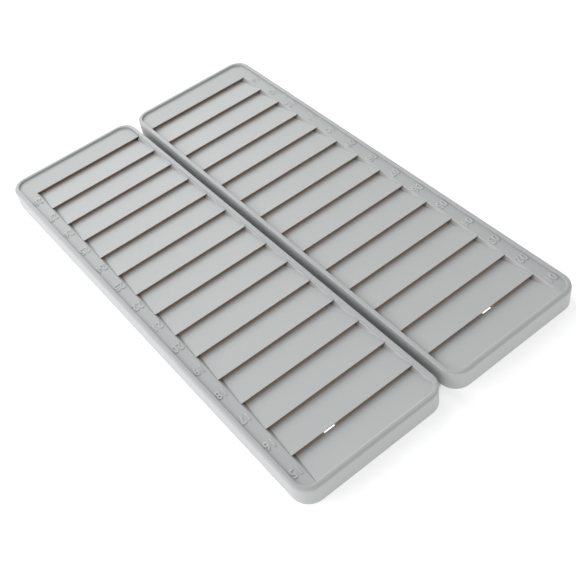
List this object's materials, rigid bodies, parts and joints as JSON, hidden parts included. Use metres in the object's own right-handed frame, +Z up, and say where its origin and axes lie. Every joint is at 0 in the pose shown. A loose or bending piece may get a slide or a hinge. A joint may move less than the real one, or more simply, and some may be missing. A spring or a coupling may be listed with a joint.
{
  "type": "numbered slide tray pair",
  "caption": "Pair of shallow rounded trays with numbered, overlapping sloping slats, whose lips form slots for the low edges of microscope slides.",
  "frame": {"origin": "centre of the footprint of the pair, on the surface that the trays stand on", "axes": "+X across the pair from the left tray to the right one, +Y along the trays from the last slots to the header end, +Z up"},
  "size_m": [0.1896, 0.311, 0.013],
  "materials": {
    "frame_plastic": "fine satin moulded light grey",
    "insert_plastic": "fine satin moulded light grey, with raised numerals",
    "slat_plastic": "fine satin moulded light grey",
    "base_plastic": "matt dark grey-brown"
  },
  "bodies": {
    "left_tray": {"left_rim_frame": "frame_plastic", "left_number_plate": "insert_plastic", "left_base_plate": "base_plastic", "left_slat_15": "slat_plastic", "left_slat_16": "slat_plastic", "left_slat_17": "slat_plastic", "left_slat_18": "slat_plastic", "left_slat_19": "slat_plastic", "left_slat_20": "slat_plastic", "left_slat_21": "slat_plastic", "left_slat_22": "slat_plastic", "left_slat_23": "slat_plastic", "left_slat_24": "slat_plastic", "left_slat_25": "slat_plastic", "left_slat_26": "slat_plastic", "left_slat_27": "slat_plastic", "left_slat_28": "slat_plastic"},
    "right_tray": {"right_rim_frame": "frame_plastic", "right_number_plate": "insert_plastic", "right_base_plate": "base_plastic", "right_slat_01": "slat_plastic", "right_slat_02": "slat_plastic", "right_slat_03": "slat_plastic", "right_slat_04": "slat_plastic", "right_slat_05": "slat_plastic", "right_slat_06": "slat_plastic", "right_slat_07": "slat_plastic", "right_slat_08": "slat_plastic", "right_slat_09": "slat_plastic", "right_slat_10": "slat_plastic", "right_slat_11": "slat_plastic", "right_slat_12": "slat_plastic", "right_slat_13": "slat_plastic", "right_slat_14": "slat_plastic"}
  },
  "joints": [
    {"name": "right_tray_shift", "type": "slide", "parent": "left_tray", "child": "right_tray", "axis": [1, 0, 0], "range_m": [-0.0045, 0.1]}
  ]
}
